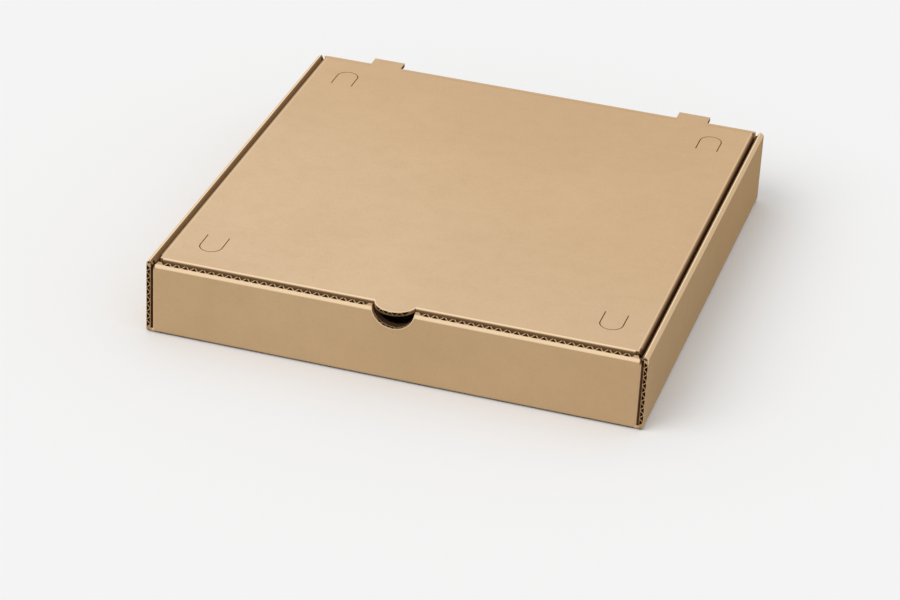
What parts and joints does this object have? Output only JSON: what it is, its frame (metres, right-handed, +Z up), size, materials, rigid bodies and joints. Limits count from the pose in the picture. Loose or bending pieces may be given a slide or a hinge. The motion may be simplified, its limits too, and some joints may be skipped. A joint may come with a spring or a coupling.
{
  "type": "pizza box",
  "caption": "Square corrugated-board takeaway box folded from one blank, with a hinged lid, thumb notch, rolled side walls and vent slits.",
  "frame": {"origin": "middle of the closed box's bounding box, at its underside", "axes": "+Z up, front wall with the thumb notch towards -Y, hinge crease along X at the back"},
  "size_m": [0.356, 0.372, 0.057],
  "materials": {
    "board": "matte"
  },
  "bodies": {
    "tray": {"tray": "board"},
    "lid": {"lid": "board"}
  },
  "joints": [
    {"name": "lid_hinge", "type": "hinge", "parent": "tray", "child": "lid", "pos_m": [0, 0.176, 0.057], "axis": [-1, 0, 0], "range_deg": [0, 180]}
  ]
}
